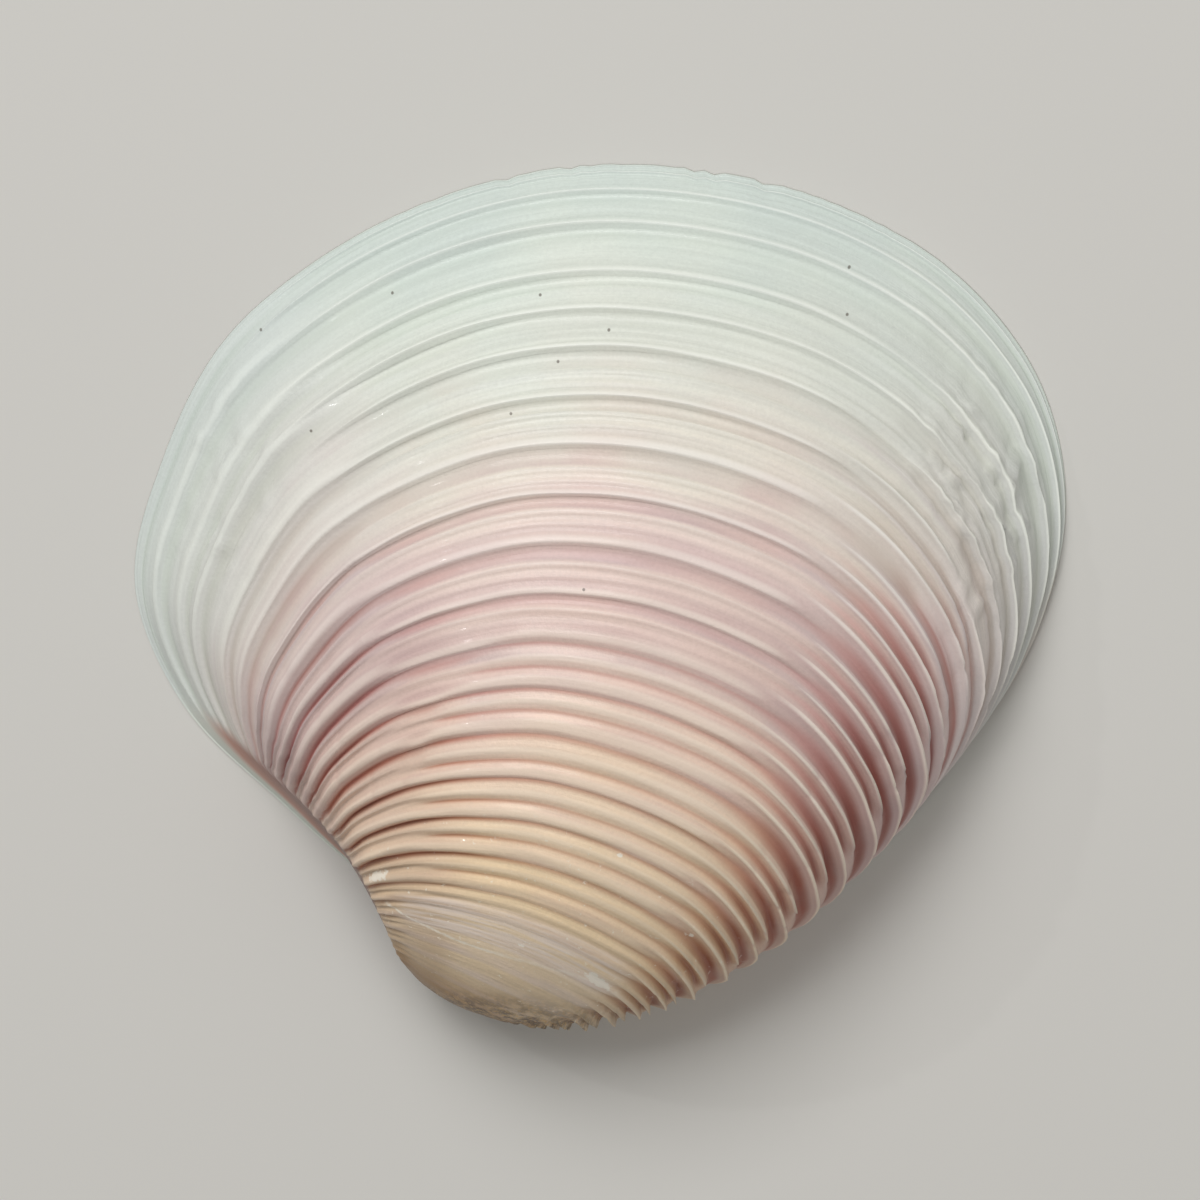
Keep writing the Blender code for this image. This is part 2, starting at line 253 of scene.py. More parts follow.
def growthGroup():
    # position of a point of the growth line of a given stage, at a given place along the rim
    tree = bpy.data.node_groups.new("growth line", "GeometryNodeTree")
    add = partial(addNode, tree)
    for name, kind in (("Place", "Float"), ("Stage", "Float"), ("Rim", "Geometry"), ("Beak", "Vector"),
                       ("Axis", "Vector"), ("Full Turn", "Float"), ("Full Growth", "Float")):
        tree.interface.new_socket(name, in_out="INPUT", socket_type="NodeSocket" + kind)
    tree.interface.new_socket("Position", in_out="OUTPUT", socket_type="NodeSocketVector")
    given = add("NodeGroupInput").outputs
    wrapped = add("Math", {0: given["Place"]}, "FRACT")
    onRim = add("SampleCurve", {"Curves": given["Rim"], "Factor": wrapped}, mode="FACTOR",
                use_all_curves=True).outputs["Position"]
    safeStage = add("Math", (given["Stage"], growth["leastStage"]), "MAXIMUM")
    logarithm = add("Math", (safeStage, math.e), "LOGARITHM")
    age = add("Math", (logarithm, given["Full Growth"]), "DIVIDE")
    youth = add("Math", (age, 1.0), "ADD", use_clamp=True)
    turned = add("Math", (1.0, add("Math", (youth, youth), "MULTIPLY")), "SUBTRACT")
    angle = add("Math", (turned, given["Full Turn"]), "MULTIPLY")
    swung = add("VectorRotate", {"Vector": onRim, "Center": given["Beak"], "Axis": given["Axis"],
                                 "Angle": angle}, rotation_type="AXIS_ANGLE")
    place = add("Mix", {0: given["Stage"], 4: given["Beak"], 5: swung}, data_type="VECTOR",
                clamp_factor=False)
    add("NodeGroupOutput", {"Position": place})
    return tree


def valveTree():
    tree = bpy.data.node_groups.new("grown valve", "GeometryNodeTree")
    add = partial(addNode, tree)
    sockets = {}
    for name, kind, value in (
            ("Rim", "Object", None), ("Columns", "Int", ridges["columns"]),
            ("Rows Per Pair", "Int", ridges["rowsPerPair"]), ("Pairs", "Int", ridges["pairs"]),
            ("Relief", "Float", 1.0), ("Wobble", "Float", ridges["wobble"]),
            ("Seed", "Float", ridges["seed"]),
            ("Shell Thickness", "Float", hollow["shellThickness"] * mm),
            ("Edge Thickness", "Float", hollow["edgeThickness"] * mm),
            ("Rim Width", "Float", hollow["rimWidth"] * mm),
            ("Hinge Recess", "Float", hollow["hingeRecess"] * mm),
            ("Inside Rows", "Int", hollow["rowCount"]), ("Material", "Material", None)):
        made = tree.interface.new_socket(name, in_out="INPUT", socket_type="NodeSocket" + kind)
        if value is not None:
            made.default_value = value
        sockets[name] = made.identifier
    tree.interface.new_socket("Geometry", in_out="OUTPUT", socket_type="NodeSocketGeometry")
    given = add("NodeGroupInput").outputs

    rimObject = add("ObjectInfo", {"Object": given["Rim"]}).outputs["Geometry"]
    rimSpline = add("CurveSplineType", {"Curve": rimObject}, spline_type="CATMULL_ROM")
    rimLine = add("SetSplineResolution", {"Geometry": rimSpline, "Resolution": growth["rimSteps"]})
    yaw, pitch = math.radians(growth["axisYaw"]), math.radians(growth["axisPitch"])
    axis = (math.cos(yaw) * math.cos(pitch), math.sin(yaw) * math.cos(pitch), math.sin(pitch))
    rule = {"Rim": rimLine, "Beak": framed(*growth["beak"]), "Axis": axis,
            "Full Turn": math.radians(growth["fullTurn"]), "Full Growth": growth["fullGrowth"]}
    lineGroup = growthGroup()

    # outside: one column per step along the rim, rowsPerPair rows for each pair of ridges
    columnPoints = add("Math", (given["Columns"], 1.0), "ADD")
    rows = add("Math", (given["Pairs"], given["Rows Per Pair"], 1.0), "MULTIPLY_ADD")
    sheet = add("MeshGrid", (1.0, 1.0, columnPoints, rows))
    spot = add("SeparateXYZ", {0: add("InputPosition")}).outputs
    columnShare = add("Math", (spot["X"], 0.5), "ADD")
    columnPlace = add("FloatCurve", {"Value": columnShare}, points=ridges["columnPlaces"])
    place = add("Math", (columnPlace, ridges["seam"]), "SUBTRACT")
    wrapped = add("Math", {0: place}, "FRACT")
    placed = {name: add("FloatCurve", {"Value": wrapped}, points={**ridges, **wear}[name]) for name in (
        "frontShare", "behindShare", "hindmostShare", "frontPlateShare", "earlier", "sweep", "waverShare",
        "reliefYoung", "reliefOld", "crumplePlaces", "chipPlaces", "smoothFront")}
    share = add("Math", (spot["Y"], 0.5), "ADD")
    pairs = add("Math", (share, given["Pairs"]), "MULTIPLY")
    pairNumber = add("Math", {0: add("Math", (pairs, ridges["nudge"]), "ADD")}, "FLOOR")
    phase = add("Math", (pairs, pairNumber), "SUBTRACT", use_clamp=True)
    steps = [(row / ridges["rowsPerPair"], warped) for row, warped in enumerate(ridges["rowPhases"])]
    even = add("FloatCurve", {"Value": phase}, points=steps)

    # each pair lies a little off its place
    pairDice = add("Math", (add("TexWhiteNoise", {"W": pairNumber}, noise_dimensions="1D"), 0.5), "SUBTRACT")
    middleOfPair = add("Math", (add("Math", (1.0, even), "SUBTRACT"), even), "MULTIPLY")
    pairShift = add("Math", (pairDice, ridges["pairShift"] * 2), "MULTIPLY")
    steep = add("Math", (middleOfPair, pairShift, even), "MULTIPLY_ADD")
    shapes = {name: add("FloatCurve", {"Value": even}, points=list(zip(ridges["rowPhases"], ridges[name])))
              for name in ("young", "front", "behind", "hindmost", "tripled", "plated")}
    paired = shapes["young"]
    for name in ("front", "behind", "hindmost"):
        paired = add("Mix", {0: placed[name + "Share"], 2: paired, 3: shapes[name]})
    endShare = add("Math", (placed["frontShare"], placed["behindShare"]), "ADD", use_clamp=True)
    leanHere = add("Math", (endShare, -ridges["lean"]), "MULTIPLY")
    laid = add("Math", (pairNumber, add("Math", (paired, leanHere, steep), "MULTIPLY_ADD")), "ADD")
    laidShare = add("Math", (laid, given["Pairs"]), "DIVIDE")
    stage = add("FloatCurve", {"Value": laidShare}, straight=True,
                points=[(pair / ridges["pairs"], size) for pair, size in ridges["spells"]])
    staged = {name: add("FloatCurve", {"Value": stage}, points={**ridges, **wear}[name],
                        straight=name == "frontPlates")
              for name in ("frontPlates", "lunuleEdge", "reliefByStage", "crumpleStages")}

    # the ridges run ahead of the growth lines at both ends, kink at the front and waver a little
    toRim = add("Math", (1.0, stage), "SUBTRACT")
    fade = add("Math", (toRim, ridges["sweepFade"]), "DIVIDE", use_clamp=True)
    fasterFront = add("Mix", {0: placed["frontShare"], 2: 1.0, 3: fade})
    fade = add("Math", (fade, fasterFront), "MULTIPLY")
    drift = add("CombineXYZ", (place, stage, given["Seed"]))
    waver = add("TexNoise", {"Vector": drift, "Scale": ridges["waverScale"], "Detail": 2.0})
    wavering = add("Math", (waver, 0.5), "SUBTRACT")
    waverSize = add("Math", (wavering, given["Wobble"]), "MULTIPLY")
    alongRim = add("Math", (place, wear["rimLength"]), "MULTIPLY")
    alongGrowth = add("Math", (stage, wear["growthLength"]), "MULTIPLY")
    sheetMm = add("CombineXYZ", (alongRim, alongGrowth, given["Seed"]))
    knots = add("TexNoise", {"Vector": sheetMm, "Scale": wear["crumplePerMm"], "Detail": 2.0})
    crowded = add("Math", (placed["crumplePlaces"], staged["crumpleStages"]), "MULTIPLY")
    crumpled = add("Math", (add("Math", (knots, 0.5), "SUBTRACT"), crowded), "MULTIPLY")
    crumpleWaver = add("Math", (crumpled, wear["crumpleWaver"], waverSize), "MULTIPLY_ADD")
    waverHere = add("Math", (crumpleWaver, placed["waverShare"]), "MULTIPLY")
    ahead = add("Math", (placed["sweep"], waverHere), "ADD")
    line = add("Math", (stage, add("Math", (ahead, fade, 1.0), "MULTIPLY_ADD")), "MULTIPLY")
    smooth = add("Group", {"Place": wrapped, "Stage": line, **rule}, node_tree=lineGroup)

    # only the rim itself touches the table
    apart = add("SeparateXYZ", {0: smooth}).outputs
    notRim = add("Math", (stage, ridges["rimStage"]), "LESS_THAN")
    floorHeight = add("Math", (notRim, growth["tableClear"] * mm), "MULTIPLY")
    lifted = add("Math", (apart["Z"], floorHeight), "MAXIMUM")
    stood = add("CombineXYZ", (apart["X"], apart["Y"], lifted))

    # shape of the ridges, from paired ones to plates, with chips in the crests
    seenAge = add("Math", (stage, placed["earlier"]), "ADD", use_clamp=True)
    tripledHere = add("FloatCurve", {"Value": seenAge}, points=ridges["tripledStages"])
    tripledShare = add("Math", (tripledHere, add("Math", (1.0, endShare), "SUBTRACT")), "MULTIPLY")
    tripled = add("Mix", {0: tripledShare, 2: paired, 3: shapes["tripled"]})
    platedShare = add("FloatCurve", {"Value": seenAge}, points=ridges["platedStages"])
    plated = add("Mix", {0: platedShare, 2: tripled, 3: shapes["plated"]})
    lateEnough = add("MapRange", (stage, *ridges["frontPlateStages"]))
    frontPlateShare = add("Math", (placed["frontPlateShare"], lateEnough), "MULTIPLY")
    profile = add("Mix", {0: frontPlateShare, 2: plated, 3: staged["frontPlates"]})
    chipAlong = add("Math", (alongRim, wear["chipPerMm"]), "MULTIPLY")
    chipPair = add("Math", (pairNumber, wear["chipPerPair"]), "MULTIPLY")
    chipSpot = add("CombineXYZ", (chipAlong, chipPair, given["Seed"]))
    chipNoise = add("TexNoise", {"Vector": chipSpot, "Scale": 1.0, "Detail": 1.0})
    chips = add("MapRange", (chipNoise, *wear["chipNoise"], 0.0, wear["chipDepth"]))
    chipsHere = add("Math", (chips, placed["chipPlaces"]), "MULTIPLY")
    chipped = add("Math", (profile, add("Math", (1.0, chipsHere), "SUBTRACT")), "MULTIPLY")
    ridgeHeight = add("Math", (chipped, ridges["crestShare"] - 1), "ADD")

    # height of the relief, by place and by age
    oldShare = add("MapRange", (stage, *ridges["oldStages"]))
    reliefSharp = add("Mix", {0: oldShare, 2: placed["reliefYoung"], 3: placed["reliefOld"]})
    smoothShare = add("MapRange", (stage, *wear["smoothStages"], -1.0, 0.0))
    smoothed = add("Math", (placed["smoothFront"], smoothShare, 1.0), "MULTIPLY_ADD")
    pastLunule = add("Math", (wrapped, staged["lunuleEdge"]), "SUBTRACT")
    ridged = add("MapRange", (pastLunule, -ridges["lunuleSoft"], ridges["lunuleSoft"]),
                 interpolation_type="SMOOTHSTEP")
    unevenAlong, unevenAcross = ridges["unevenScale"]
    unevenSpot = add("CombineXYZ", (add("Math", (place, unevenAlong), "MULTIPLY"),
                                    add("Math", (laid, unevenAcross), "MULTIPLY"), given["Seed"]))
    uneven = add("TexNoise", {"Vector": unevenSpot, "Scale": 1.0, "Detail": 1.0})
    unevenShare = add("MapRange", (uneven, *ridges["unevenNoise"], *ridges["unevenness"]))
    rise = reliefSharp
    for factor in (ridged, smoothed, staged["reliefByStage"], unevenShare, mm, ridgeHeight):
        rise = add("Math", (rise, factor), "MULTIPLY")

    # crumples and knots where the ridges crowd
    crumpledRise = add("Math", (crumpled, wear["crumpleHeight"] * mm, rise), "MULTIPLY_ADD")
    lumps = add("TexNoise", {"Vector": sheetMm, "Scale": wear["knotPerMm"], "Detail": 1.0,
                             "Distortion": 0.6})
    lumpsFew = add("MapRange", (lumps, *wear["knotNoise"]), interpolation_type="SMOOTHSTEP")
    lumpsHere = add("Math", (lumpsFew, crowded), "MULTIPLY")
    lumpy = add("Math", (lumpsHere, wear["knotHeight"] * mm, crumpledRise), "MULTIPLY_ADD")
    riseScaled = add("Math", (lumpy, given["Relief"]), "MULTIPLY")
    rimness = add("MapRange", (stage, ridges["bandStart"], 1.0))
    offMiddle = add("Math", (chipped, ridges["middle"]), "SUBTRACT")
    seenRidge = add("Math", (offMiddle, smoothed, ridges["middle"]), "MULTIPLY_ADD")

    # what the later nodes and the material need is kept on the mesh before its points move
    evenShare = add("Math", (add("Math", (pairNumber, even), "ADD"), given["Pairs"]), "DIVIDE")
    kept = add("StoreNamedAttribute", {"Geometry": sheet.outputs["Mesh"], "Name": "growthMap",
               "Value": add("CombineXYZ", (place, evenShare))}, data_type="FLOAT2", domain="CORNER")
    for name, value in (("place", wrapped), ("stage", stage), ("ridge", seenRidge),
                        ("uneven", unevenShare), ("rise", riseScaled), ("rimness", rimness),
                        ("outside", 1.0)):
        kept = add("StoreNamedAttribute", {"Geometry": kept, "Name": name, "Value": value})
    grown = add("SetPosition", {"Geometry": kept, "Position": stood})
    keptRise = add("InputNamedAttribute", {"Name": "rise"})
    standOff = add("VectorMath", {0: add("InputNormal"), "Scale": keptRise}, "SCALE")
    sculpted = add("SetPosition", {"Geometry": grown, "Offset": standOff})

    # the inner surface of the shell, for its height over each point of the hollow
    probe = add("MeshGrid", (1.0, 1.0, *hollow["probePoints"]))
    probeStage = add("MapRange", (share, 0.0, 1.0, hollow["youngestProbe"], 1.0))
    probeLine = add("Group", {"Place": wrapped, "Stage": probeStage, **rule}, node_tree=lineGroup)
    thinning = add("MapRange", (probeStage, hollow["thinFrom"], 1.0, given["Shell Thickness"],
                                given["Edge Thickness"]), interpolation_type="SMOOTHSTEP")
    thick = add("StoreNamedAttribute", {"Geometry": probe, "Name": "thickness", "Value": thinning})
    probeGrown = add("SetPosition", {"Geometry": thick, "Position": probeLine})
    inward = add("Math", (add("InputNamedAttribute", {"Name": "thickness"}), -1.0), "MULTIPLY")
    sink = add("VectorMath", {0: add("InputNormal"), "Scale": inward}, "SCALE")
    innerSkin = add("SetPosition", {"Geometry": probeGrown, "Offset": sink})

    # inside: rim band, step, hinge shelf, then rows that close in on the middle of the hollow
    liner = add("MeshGrid", (1.0, 1.0, columnPoints, given["Inside Rows"]))
    bandEnd, stepEnd, shelfEnd = hollow["rows"]
    band = add("MapRange", (share, 0.0, bandEnd))
    stepUp = add("MapRange", (share, bandEnd, stepEnd))
    overShelf = add("MapRange", (share, stepEnd, shelfEnd))
    toMiddle = add("MapRange", (share, shelfEnd, 1.0))
    hinge = add("FloatCurve", {"Value": wrapped}, points=hollow["hingeSpan"])
    wideShelf = hollow["hingeWidth"] - hollow["rimWidth"] - hollow["step"]
    shelfWidth = add("MapRange", (hinge, 0.0, 1.0, hollow["narrowShelf"] * mm, wideShelf * mm))
    bandIn = add("Math", (band, given["Rim Width"]), "MULTIPLY")
    stepIn = add("Math", (stepUp, hollow["step"] * mm, bandIn), "MULTIPLY_ADD")
    distance = add("Math", (overShelf, shelfWidth, stepIn), "MULTIPLY_ADD")
    rimSample = add("SampleCurve", {"Curves": rimLine, "Factor": wrapped}, mode="FACTOR",
                    use_all_curves=True).outputs
    inwards = add("VectorMath", (rimSample["Tangent"], (0.0, 0.0, 1.0)), "CROSS_PRODUCT")
    insetBy = add("VectorMath", {0: inwards, "Scale": distance}, "SCALE")
    inset = add("VectorMath", (rimSample["Position"], insetBy), "ADD")
    centre = framed(*hollow["centre"])
    plan = add("Mix", {0: toMiddle, 4: inset, 5: centre}, data_type="VECTOR")
    fromSky = add("VectorMath", (plan, (0.0, 0.0, hollow["sky"] * mm)), "ADD")
    down = add("Raycast", {"Target Geometry": innerSkin, "Source Position": fromSky,
                           "Ray Direction": (0.0, 0.0, -1.0), "Ray Length": 0.2}).outputs["Hit Position"]
    hitHeight = add("SeparateXYZ", {0: down}).outputs["Z"]
    ceiling = add("Math", (hitHeight, hollow["clear"] * mm), "MAXIMUM")
    toothLines = add("JoinGeometry")
    for start, end in hollow["teeth"]:
        tooth = add("CurvePrimitiveLine", {"Start": framed(*start), "End": framed(*end)})
        tree.links.new(add("CurveToMesh", {"Curve": tooth}).outputs[0], toothLines.inputs[0])
    toothNear = add("Proximity", {0: toothLines, "Sample Position": plan},
                    target_element="EDGES").outputs["Distance"]
    toothHeight = add("MapRange", (toothNear, hollow["toothTop"] * mm, hollow["toothFoot"] * mm,
                                   hollow["toothHeight"] * mm, 0.0), interpolation_type="SMOOTHERSTEP")
    shelfHeight = add("Math", (given["Hinge Recess"], toothHeight), "SUBTRACT")
    shelf = add("Math", (shelfHeight, ceiling), "MINIMUM")
    behindShelf = add("MapRange", (toMiddle, 0.0, hollow["shelfEnd"], 1.0, 0.0),
                      interpolation_type="SMOOTHSTEP")
    shelfShare = add("Math", (hinge, behindShelf), "MULTIPLY")
    height = add("Mix", {0: shelfShare, 2: ceiling, 3: shelf})
    planParts = add("SeparateXYZ", {0: plan}).outputs
    lining = add("CombineXYZ", (planParts["X"], planParts["Y"],
                                add("Math", (height, stepUp), "MULTIPLY")))
    lined = add("StoreNamedAttribute", {"Geometry": liner, "Name": "growthMap",
                "Value": add("CombineXYZ", (place, share))}, data_type="FLOAT2", domain="CORNER")
    rimnessIn = add("MapRange", (share, 0.0, bandEnd, 1.0, 0.0))
    for name, value in (("place", wrapped), ("stage", 1.0), ("ridge", 0.5), ("uneven", 1.0),
                        ("rimness", rimnessIn), ("outside", 0.0)):
        lined = add("StoreNamedAttribute", {"Geometry": lined, "Name": name, "Value": value})
    lined = add("SetPosition", {"Geometry": lined, "Position": lining})

    both = add("JoinGeometry")
    for half in (lined, sculpted):
        tree.links.new(half.outputs[0], both.inputs[0])
    closed = add("MergeByDistance", {"Geometry": both, "Distance": hollow["weld"] * mm})

    # small nibbles along the ventral edge, pushed in toward the middle
    nibblePlace = add("InputNamedAttribute", {"Name": "place"})
    nibbleAlong = add("Math", (nibblePlace, wear["rimLength"] * wear["rimPerMm"]), "MULTIPLY")
    nibbleNoise = add("TexNoise", {"W": nibbleAlong, "Scale": 1.0, "Detail": 2.0}, noise_dimensions="1D")
    nibbles = add("MapRange", (nibbleNoise, *wear["rimNoise"], 0.0, wear["rimNibble"] * mm))
    nibbleWhere = add("FloatCurve", {"Value": nibblePlace}, points=wear["rimPlaces"])
    nibbleHere = add("Math", (nibbles, nibbleWhere), "MULTIPLY")
    nibbled = add("Math", (nibbleHere, add("InputNamedAttribute", {"Name": "rimness"})), "MULTIPLY")
    toCentre = add("VectorMath", (centre, add("InputPosition")), "SUBTRACT")
    flatCentre = add("VectorMath", (toCentre, (1.0, 1.0, 0.0)), "MULTIPLY")
    centreward = add("VectorMath", {0: flatCentre}, "NORMALIZE")
    nibbleMove = add("VectorMath", {0: centreward, "Scale": nibbled}, "SCALE")
    worn = add("SetPosition", {"Geometry": closed, "Offset": nibbleMove})
    shaded = add("SetShadeSmooth", {"Geometry": worn, "Shade Smooth": True})
    real = add("RealizeInstances", {"Geometry": shaded})
    painted = add("SetMaterial", {"Geometry": real, "Material": given["Material"]})
    add("NodeGroupOutput", {"Geometry": painted})
    return tree, sockets


def rimCurve():
    drawn = bpy.data.curves.new("rimOutline", "CURVE")
    drawn.dimensions = "3D"
    spline = drawn.splines.new("POLY")
    spline.points.add(len(growth["rimOutline"]) - 1)
    for point, spot in zip(spline.points, growth["rimOutline"]):
        point.co = (*framed(*spot), 1.0)
    spline.use_cyclic_u = True
    made = bpy.data.objects.new("rimOutline", drawn)
    bpy.context.scene.collection.objects.link(made)
    return made


# Colours of the shell; pairs are (size of the shell when that part was laid down, colour)
paint = {
    "ridgeBand": ((0.08, "#8f6c48"), (0.16, "#b08c68"), (0.22, "#e0ccba"), (0.29, "#ead6c8"),
                  (0.36, "#ebcdb0"), (0.46, "#ebccba"), (0.54, "#e2c1b7"), (0.62, "#d6bab4"),
                  (0.70, "#dfc5c1"), (0.76, "#e6dad0"), (0.84, "#dfe1d6"), (0.93, "#d9e1d8"),
                  (1.0, "#d4ded8")),
    "troughBand": ((0.08, "#84623a"), (0.16, "#ac8658"), (0.22, "#dec6a4"), (0.29, "#efd8b6"),
                   (0.36, "#f5dab2"), (0.46, "#f7dec0"), (0.54, "#f3d9c6"), (0.62, "#ecd3c8"),
                   (0.70, "#f2dfd4"), (0.76, "#f0e8da"), (0.84, "#e6e8de"), (0.93, "#e0e8df"),
                   (1.0, "#d6e0da")),
    # cream on the crests: a paler edge, partly a painted highlight
    "crest": ((0.10, "#b79d7e"), (0.25, "#e2ccac"), (0.45, "#f9e6cd"), (0.70, "#faede6"),
              (0.85, "#fbfdf4"), (1.0, "#f2f8f2")),
    # the grooves: red-brown pigment while young, darkened as painted shade, then grey-green that is only
    # painted shade in the white last years
    "groove": ((0.10, "#7a5c3c"), (0.25, "#a2713f"), (0.36, "#b86c3a"), (0.50, "#c06a48"),
               (0.62, "#c88280"), (0.71, "#d3a69c"), (0.76, "#d3c5b8"), (0.84, "#d1d1c6"),
               (0.92, "#cfd6ca"), (1.0, "#c9d3ca")),
    "lilac": "#c9b3b4",
    # deeper red-brown in the grooves at both ends, partly pigment and partly painted shade
    "clay": "#8c4a3e",
    "hindTint": ((0.20, "#94744f"), (0.35, "#bf9e8a"), (0.50, "#c6a49c"), (0.62, "#bd9fa1"),
                 (0.76, "#e4d8d7"), (0.90, "#dedcdb"), (1.0, "#dfe3e0")),
    "lunule": ((0.38, "#7d5c52"), (0.60, "#8c665f"), (0.80, "#ab7a6c"), (0.885, "#c48f7e"),
               (0.92, "#d6bfb2"), (0.945, "#dcdcd2"), (1.0, "#dfe4db")),
    "hindEdge": "#cf9478",
    "wornBrown": "#4f3618",
    "wornFleck": "#cfa96c",
    "speck": "#5a5044",
    "chip": "#fbf4e6",
    "film": "#ecddd2",
    "porcelain": "#eeeae0",
    "scar": "#e6e0d3",
}

# Single marks on the outside, and the prints inside
marks = {
    "specks": ((-9.4, 14.6), (11.9, 14.0), (-2.3, 14.9), (1.0, 13.5), (-1.3, 12.1), (-13.0, 8.4),
               (-3.4, 9.8), (0.3, 2.3), (-15.8, 12.5), (11.9, 16.0)),  # mm, in plan
    "speckSize": 0.085,
    # place, size of the shell there, half length and half width in mm
    "chips": ((0.176, 0.368, 1.0, 0.32), (0.492, 0.300, 1.0, 0.20), (0.476, 0.305, 0.3, 0.12),
              (0.435, 0.428, 0.14, 0.10), (0.540, 0.396, 0.20, 0.10), (0.375, 0.300, 0.25, 0.08)),
    "chipFray": (2.4, 1.85, 2.15),
    "scarCourse": ((0.0, 0.32), (0.17, 0.316), (0.205, 0.299), (0.25, 0.284), (0.33, 0.276), (0.40, 0.283),
                   (0.48, 0.298), (0.60, 0.30), (1.0, 0.30)),
    "scarShare": ((0.0, 0.0), (0.16, 0.0), (0.18, 1.0), (0.33, 0.9), (0.40, 0.45), (0.50, 0.5), (0.56, 0.0),
                  (1.0, 0.0)),
    "scarWidth": (0.004, 0.007),  # size of the shell
    # the two muscles, centre and radii in mm, and the line between them, across the lining
    "muscles": (((-16.0, 1.4), (2.3, 4.2)), ((16.0, 3.4), (2.9, 3.6))),
    "pallialShare": 0.585,
    "pallialWidth": 0.012,
    "pallialPlaces": ((0.0, 0.0), (0.16, 0.0), (0.18, 1.0), (0.60, 1.0), (0.64, 0.0), (1.0, 0.0)),
}

# Where each layer of colour lies, by place along the rim, size of the shell or part of a pair
layers = {
    "noises": {"drift": (0.16, 3.0, 0.5), "grain": (5.5, 3.0, 0.65), "mottle": (1.6, 5.0, 0.65),
               "ragged": (2.4, 4.0, 0.7)},  # scale per mm, detail, roughness
    "drift": 0.03,  # size of the shell by which the zones waver
    "reachStages": (0.4, 0.7),
    "striae": (9.0, 6.0),  # fine growth lines round the rim and per pair
    "striaeShade": (0.93, 1.04),
    "grainShade": (0.965, 1.03),
    "bandStrength": (1.1, 0.3),
    "byPair": {
        "onRidge": ((0.0, 0.3), (0.06, 0.9), (0.3, 0.9), (0.5, 0.15), (0.95, 0.0), (1.0, 0.3)),
        "between": ((0.0, 0.5), (0.06, 0.0), (0.66, 0.0), (0.74, 0.9), (0.92, 0.8), (1.0, 0.5))},
    "lilacZone": ((0.0, 0.0), (0.53, 0.0), (0.6, 0.6), (0.7, 0.8), (0.76, 0.55), (0.82, 0.25), (0.88, 0.0),
                  (1.0, 0.0)),
    "byPlace": {
        "reach": ((0.0, 0.02), (0.12, 0.02), (0.18, 0.0), (0.3, -0.02), (0.42, 0.0), (0.5, -0.01),
                  (0.57, 0.02), (0.63, 0.06), (0.7, 0.1), (0.78, 0.08), (1.0, 0.02)),
        "blush": ((0.0, 0.0), (0.1, 0.35), (0.13, 0.5), (0.18, 0.38), (0.25, 0.36), (0.33, 0.0), (0.44, 0.0),
                  (0.5, 0.08), (0.56, 0.25), (0.62, 0.5), (0.7, 0.75), (0.76, 0.4), (0.82, 0.0), (1.0, 0.0)),
        # the next three: how strongly the grooves' brown with its painted shade and the crests' painted
        # highlight show
        "groove": ((0.0, 0.6), (0.09, 0.8), (0.15, 0.95), (0.24, 0.9), (0.33, 0.6), (0.42, 0.42),
                   (0.5, 0.45), (0.54, 0.6), (0.6, 0.95), (0.64, 1.0), (0.7, 0.9), (0.78, 0.2),
                   (0.96, 0.2), (1.0, 0.6)),
        "clay": ((0.0, 0.0), (0.14, 0.1), (0.18, 0.45), (0.24, 0.35), (0.32, 0.0), (0.5, 0.0), (0.57, 0.6),
                 (0.64, 0.9), (0.72, 0.8), (0.8, 0.0), (1.0, 0.0)),
        "crest": ((0.0, 0.0), (0.12, 0.1), (0.18, 0.5), (0.3, 0.5), (0.42, 0.55), (0.5, 0.65), (0.57, 1.0),
                  (0.66, 0.9), (0.75, 0.2), (1.0, 0.0)),
        "worn": ((0.0, 0.1), (0.25, 0.14), (0.38, 0.22), (0.5, 0.27), (0.6, 0.29), (0.75, 0.24), (1.0, 0.1)),
        "film": ((0.0, 0.0), (0.18, 0.0), (0.23, 1.0), (0.47, 1.0), (0.55, 0.0), (1.0, 0.0)),
        "scarCourse": marks["scarCourse"], "scarShare": marks["scarShare"],
        "pallialPlaces": marks["pallialPlaces"]},
    "byStage": {
        "lunuleEdge": ridges["lunuleEdge"],
        "film": ((0.0, 0.0), (0.27, 0.0), (0.29, 0.7), (0.315, 0.8), (0.335, 0.3), (0.36, 0.0), (1.0, 0.0)),
        "crumbs": ((0.0, 0.0), (0.2, 0.3), (0.26, 1.0), (0.42, 0.7), (0.48, 0.0), (1.0, 0.0))},
    # how strongly the deep groove brown, partly painted shade, shows by the size of the shell
    "grooveBrownStages": ((0.2, 0.2), (0.34, 0.7), (0.5, 0.8), (0.58, 1.0), (0.66, 1.0), (0.78, 0.25), (0.9, 0.0)),
    "hindPlaces": ((0.665, 0.0), (0.71, 0.8), (0.78, 0.9), (0.9, 0.5)),
    "hindStages": ((0.965, 0.0), (0.985, 0.7), (1.0, 0.9)),
    "low": 0.5,  # grooves are painted up to this height
    # crests are painted, partly as painted highlight, between these two heights
    "high": (0.7, 0.96),
    "lunuleFray": (-0.012, 0.004),
    "underBeak": (0.96, 0.985),
    "wornFade": 0.07,
    "bumpDepth": 0.12,  # mm
    "finish": {"Roughness": 0.5, "IOR": 1.5, "Coat Weight": 0.14, "Coat Roughness": 0.08},
}


